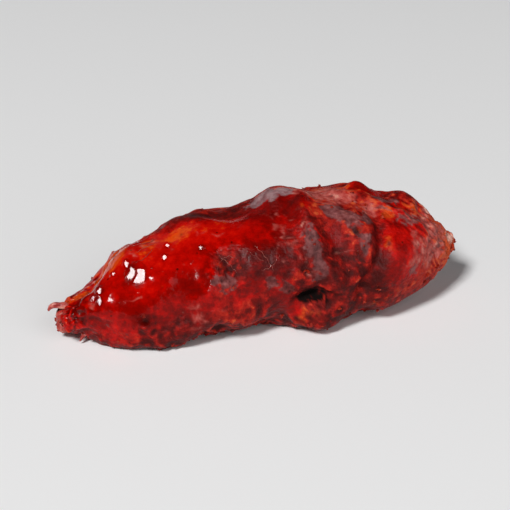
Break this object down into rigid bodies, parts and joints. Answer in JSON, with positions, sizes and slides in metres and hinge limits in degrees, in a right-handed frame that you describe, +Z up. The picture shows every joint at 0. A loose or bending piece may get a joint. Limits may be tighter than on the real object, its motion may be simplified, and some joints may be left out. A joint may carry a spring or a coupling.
{
  "type": "chicken tender",
  "caption": "Long, plump battered and fried chicken strip in a wet red glaze, torn and thin at one end, bluntly pointed at the other, flattened underneath where it rests.",
  "frame": {"origin": "under the middle of the piece's bounding box, on the surface it rests on", "axes": "+X along the piece from its torn, ragged end to its bluntly pointed end, +Z up from the flattened underside, -Y the front side with the burst blister"},
  "size_m": [0.115, 0.0436, 0.0336],
  "materials": {
    "glazed_crust": "wet, glossy red chilli glaze over an orange-brown batter crust, darker where it pools and burnt in one small pit"
  },
  "bodies": {
    "root": {"tender": "glazed_crust"}
  },
  "joints": []
}
